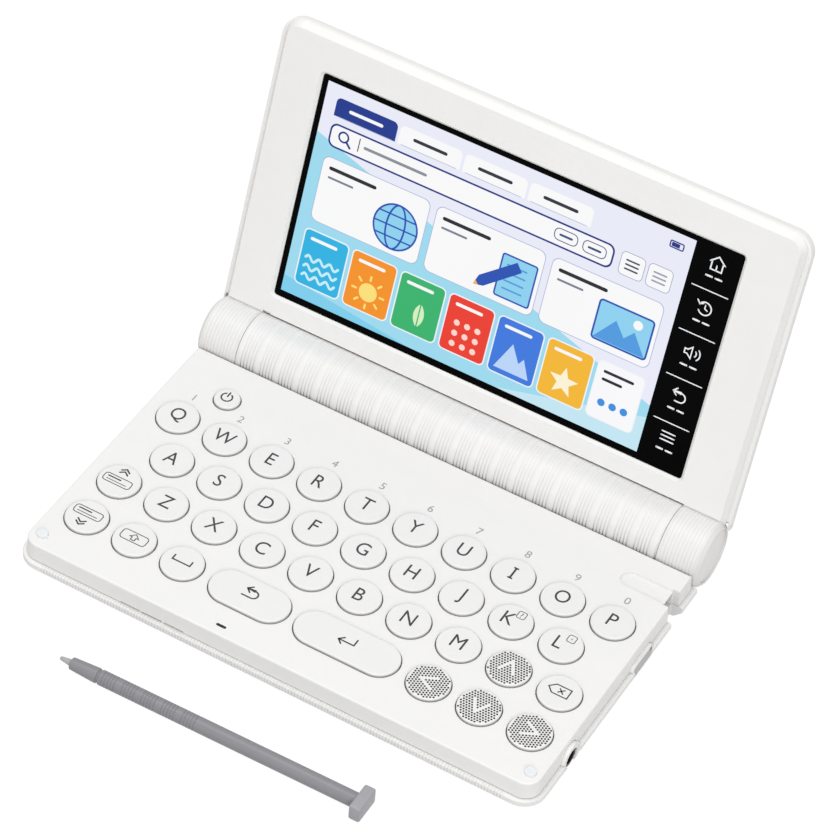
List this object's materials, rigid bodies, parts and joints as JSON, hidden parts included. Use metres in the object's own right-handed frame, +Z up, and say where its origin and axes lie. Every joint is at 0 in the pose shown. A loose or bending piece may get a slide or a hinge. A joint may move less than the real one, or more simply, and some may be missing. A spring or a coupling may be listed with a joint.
{
  "type": "electronic dictionary",
  "caption": "Folding pocket electronic dictionary with a round-key keyboard, a barrel hinge that holds the battery cells, a glass-fronted display lid and a loose stylus.",
  "frame": {"origin": "middle of the flat underside of the keyboard case", "axes": "+X along the hinge towards the side with the earphone jack, +Y from the front edge of the case towards the hinge, +Z up from the keyboard; the lid stands open at rest"},
  "size_m": [0.1488, 0.1491, 0.0943],
  "materials": {
    "case_plastic": "fine satin, warm white",
    "lid_plastic": "fine satin, warm white",
    "barrel_plastic": "satin, ribbed, pale grey",
    "key_cap": "satin white with dark grey legends",
    "grey_plastic": "satin grey",
    "black_plastic": "moulded black",
    "silicone": "translucent silicone",
    "rubber_grey": "matt rubber",
    "board": "solder mask over glass fibre",
    "cell_jacket": "printed foil jacket",
    "contact_metal": "nickel plate",
    "screw_steel": "zinc plate",
    "shaft_steel": "ground steel",
    "module_metal": "pressed tray",
    "display_glass": "polished cover glass",
    "stylus_plastic": "satin grey"
  },
  "bodies": {
    "case": {"lower_case": "case_plastic", "deck_cover": "case_plastic", "hinge_barrel": "barrel_plastic", "battery_cells": "cell_jacket", "battery_contacts": "contact_metal", "circuit_board": "board", "key_mat": "silicone", "speaker": "black_plastic", "earphone_jack": "black_plastic", "card_socket": "contact_metal", "deck_bumpers": "silicone", "rubber_feet": "rubber_grey", "case_screws": "screw_steel"},
    "lid": {"lid_bezel": "lid_plastic", "lid_back_cover": "lid_plastic", "display_glass": "display_glass", "display_module": "module_metal", "hinge_shafts": "shaft_steel", "hinge_end_caps": "barrel_plastic"},
    "battery_door": {"battery_door": "barrel_plastic"},
    "side_cover": {"side_port_cover": "grey_plastic"},
    "stylus": {"stylus": "stylus_plastic"},
    "key_q": {"key_q": "key_cap"},
    "key_w": {"key_w": "key_cap"},
    "key_e": {"key_e": "key_cap"},
    "key_r": {"key_r": "key_cap"},
    "key_t": {"key_t": "key_cap"},
    "key_y": {"key_y": "key_cap"},
    "key_u": {"key_u": "key_cap"},
    "key_i": {"key_i": "key_cap"},
    "key_o": {"key_o": "key_cap"},
    "key_p": {"key_p": "key_cap"},
    "key_a": {"key_a": "key_cap"},
    "key_s": {"key_s": "key_cap"},
    "key_d": {"key_d": "key_cap"},
    "key_f": {"key_f": "key_cap"},
    "key_g": {"key_g": "key_cap"},
    "key_h": {"key_h": "key_cap"},
    "key_j": {"key_j": "key_cap"},
    "key_k": {"key_k": "key_cap"},
    "key_l": {"key_l": "key_cap"},
    "key_z": {"key_z": "key_cap"},
    "key_x": {"key_x": "key_cap"},
    "key_c": {"key_c": "key_cap"},
    "key_v": {"key_v": "key_cap"},
    "key_b": {"key_b": "key_cap"},
    "key_n": {"key_n": "key_cap"},
    "key_m": {"key_m": "key_cap"},
    "key_previous": {"key_previous": "key_cap"},
    "key_up": {"key_up": "key_cap"},
    "key_delete": {"key_delete": "key_cap"},
    "key_next": {"key_next": "key_cap"},
    "key_shift": {"key_shift": "key_cap"},
    "key_space": {"key_space": "key_cap"},
    "key_left": {"key_left": "key_cap"},
    "key_down": {"key_down": "key_cap"},
    "key_right": {"key_right": "key_cap"},
    "key_power": {"key_power": "key_cap"},
    "key_back": {"key_back": "key_cap"},
    "key_enter": {"key_enter": "key_cap"}
  },
  "joints": [
    {"name": "lid_hinge", "type": "hinge", "parent": "case", "child": "lid", "pos_m": [0, 0.05035, 0.00856], "axis": [-1, 0, 0], "range_deg": [-107, 38]},
    {"name": "battery_door_pull", "type": "slide", "parent": "case", "child": "battery_door", "axis": [0, 1, 0], "range_m": [0, 0.015]},
    {"name": "side_cover_flap", "type": "hinge", "parent": "case", "child": "side_cover", "pos_m": [0.07345, 0.00925, 0.0034], "axis": [0, 0, -1], "range_deg": [0, 90]},
    {"name": "stylus_lift", "type": "slide", "parent": "case", "child": "stylus", "axis": [0, 0, 1], "range_m": [0, 0.03]},
    {"name": "key_q_press", "type": "slide", "parent": "case", "child": "key_q", "axis": [0, 0, -1], "range_m": [0, 0.0009], "stiffness_N_per_m": 500},
    {"name": "key_w_press", "type": "slide", "parent": "case", "child": "key_w", "axis": [0, 0, -1], "range_m": [0, 0.0009], "stiffness_N_per_m": 500},
    {"name": "key_e_press", "type": "slide", "parent": "case", "child": "key_e", "axis": [0, 0, -1], "range_m": [0, 0.0009], "stiffness_N_per_m": 500},
    {"name": "key_r_press", "type": "slide", "parent": "case", "child": "key_r", "axis": [0, 0, -1], "range_m": [0, 0.0009], "stiffness_N_per_m": 500},
    {"name": "key_t_press", "type": "slide", "parent": "case", "child": "key_t", "axis": [0, 0, -1], "range_m": [0, 0.0009], "stiffness_N_per_m": 500},
    {"name": "key_y_press", "type": "slide", "parent": "case", "child": "key_y", "axis": [0, 0, -1], "range_m": [0, 0.0009], "stiffness_N_per_m": 500},
    {"name": "key_u_press", "type": "slide", "parent": "case", "child": "key_u", "axis": [0, 0, -1], "range_m": [0, 0.0009], "stiffness_N_per_m": 500},
    {"name": "key_i_press", "type": "slide", "parent": "case", "child": "key_i", "axis": [0, 0, -1], "range_m": [0, 0.0009], "stiffness_N_per_m": 500},
    {"name": "key_o_press", "type": "slide", "parent": "case", "child": "key_o", "axis": [0, 0, -1], "range_m": [0, 0.0009], "stiffness_N_per_m": 500},
    {"name": "key_p_press", "type": "slide", "parent": "case", "child": "key_p", "axis": [0, 0, -1], "range_m": [0, 0.0009], "stiffness_N_per_m": 500},
    {"name": "key_a_press", "type": "slide", "parent": "case", "child": "key_a", "axis": [0, 0, -1], "range_m": [0, 0.0009], "stiffness_N_per_m": 500},
    {"name": "key_s_press", "type": "slide", "parent": "case", "child": "key_s", "axis": [0, 0, -1], "range_m": [0, 0.0009], "stiffness_N_per_m": 500},
    {"name": "key_d_press", "type": "slide", "parent": "case", "child": "key_d", "axis": [0, 0, -1], "range_m": [0, 0.0009], "stiffness_N_per_m": 500},
    {"name": "key_f_press", "type": "slide", "parent": "case", "child": "key_f", "axis": [0, 0, -1], "range_m": [0, 0.0009], "stiffness_N_per_m": 500},
    {"name": "key_g_press", "type": "slide", "parent": "case", "child": "key_g", "axis": [0, 0, -1], "range_m": [0, 0.0009], "stiffness_N_per_m": 500},
    {"name": "key_h_press", "type": "slide", "parent": "case", "child": "key_h", "axis": [0, 0, -1], "range_m": [0, 0.0009], "stiffness_N_per_m": 500},
    {"name": "key_j_press", "type": "slide", "parent": "case", "child": "key_j", "axis": [0, 0, -1], "range_m": [0, 0.0009], "stiffness_N_per_m": 500},
    {"name": "key_k_press", "type": "slide", "parent": "case", "child": "key_k", "axis": [0, 0, -1], "range_m": [0, 0.0009], "stiffness_N_per_m": 500},
    {"name": "key_l_press", "type": "slide", "parent": "case", "child": "key_l", "axis": [0, 0, -1], "range_m": [0, 0.0009], "stiffness_N_per_m": 500},
    {"name": "key_z_press", "type": "slide", "parent": "case", "child": "key_z", "axis": [0, 0, -1], "range_m": [0, 0.0009], "stiffness_N_per_m": 500},
    {"name": "key_x_press", "type": "slide", "parent": "case", "child": "key_x", "axis": [0, 0, -1], "range_m": [0, 0.0009], "stiffness_N_per_m": 500},
    {"name": "key_c_press", "type": "slide", "parent": "case", "child": "key_c", "axis": [0, 0, -1], "range_m": [0, 0.0009], "stiffness_N_per_m": 500},
    {"name": "key_v_press", "type": "slide", "parent": "case", "child": "key_v", "axis": [0, 0, -1], "range_m": [0, 0.0009], "stiffness_N_per_m": 500},
    {"name": "key_b_press", "type": "slide", "parent": "case", "child": "key_b", "axis": [0, 0, -1], "range_m": [0, 0.0009], "stiffness_N_per_m": 500},
    {"name": "key_n_press", "type": "slide", "parent": "case", "child": "key_n", "axis": [0, 0, -1], "range_m": [0, 0.0009], "stiffness_N_per_m": 500},
    {"name": "key_m_press", "type": "slide", "parent": "case", "child": "key_m", "axis": [0, 0, -1], "range_m": [0, 0.0009], "stiffness_N_per_m": 500},
    {"name": "key_previous_press", "type": "slide", "parent": "case", "child": "key_previous", "axis": [0, 0, -1], "range_m": [0, 0.0009], "stiffness_N_per_m": 500},
    {"name": "key_up_press", "type": "slide", "parent": "case", "child": "key_up", "axis": [0, 0, -1], "range_m": [0, 0.0009], "stiffness_N_per_m": 500},
    {"name": "key_delete_press", "type": "slide", "parent": "case", "child": "key_delete", "axis": [0, 0, -1], "range_m": [0, 0.0009], "stiffness_N_per_m": 500},
    {"name": "key_next_press", "type": "slide", "parent": "case", "child": "key_next", "axis": [0, 0, -1], "range_m": [0, 0.0009], "stiffness_N_per_m": 500},
    {"name": "key_shift_press", "type": "slide", "parent": "case", "child": "key_shift", "axis": [0, 0, -1], "range_m": [0, 0.0009], "stiffness_N_per_m": 500},
    {"name": "key_space_press", "type": "slide", "parent": "case", "child": "key_space", "axis": [0, 0, -1], "range_m": [0, 0.0009], "stiffness_N_per_m": 500},
    {"name": "key_left_press", "type": "slide", "parent": "case", "child": "key_left", "axis": [0, 0, -1], "range_m": [0, 0.0009], "stiffness_N_per_m": 500},
    {"name": "key_down_press", "type": "slide", "parent": "case", "child": "key_down", "axis": [0, 0, -1], "range_m": [0, 0.0009], "stiffness_N_per_m": 500},
    {"name": "key_right_press", "type": "slide", "parent": "case", "child": "key_right", "axis": [0, 0, -1], "range_m": [0, 0.0009], "stiffness_N_per_m": 500},
    {"name": "key_power_press", "type": "slide", "parent": "case", "child": "key_power", "axis": [0, 0, -1], "range_m": [0, 0.0009], "stiffness_N_per_m": 500},
    {"name": "key_back_press", "type": "slide", "parent": "case", "child": "key_back", "axis": [0, 0, -1], "range_m": [0, 0.0009], "stiffness_N_per_m": 500},
    {"name": "key_enter_press", "type": "slide", "parent": "case", "child": "key_enter", "axis": [0, 0, -1], "range_m": [0, 0.0009], "stiffness_N_per_m": 500}
  ]
}
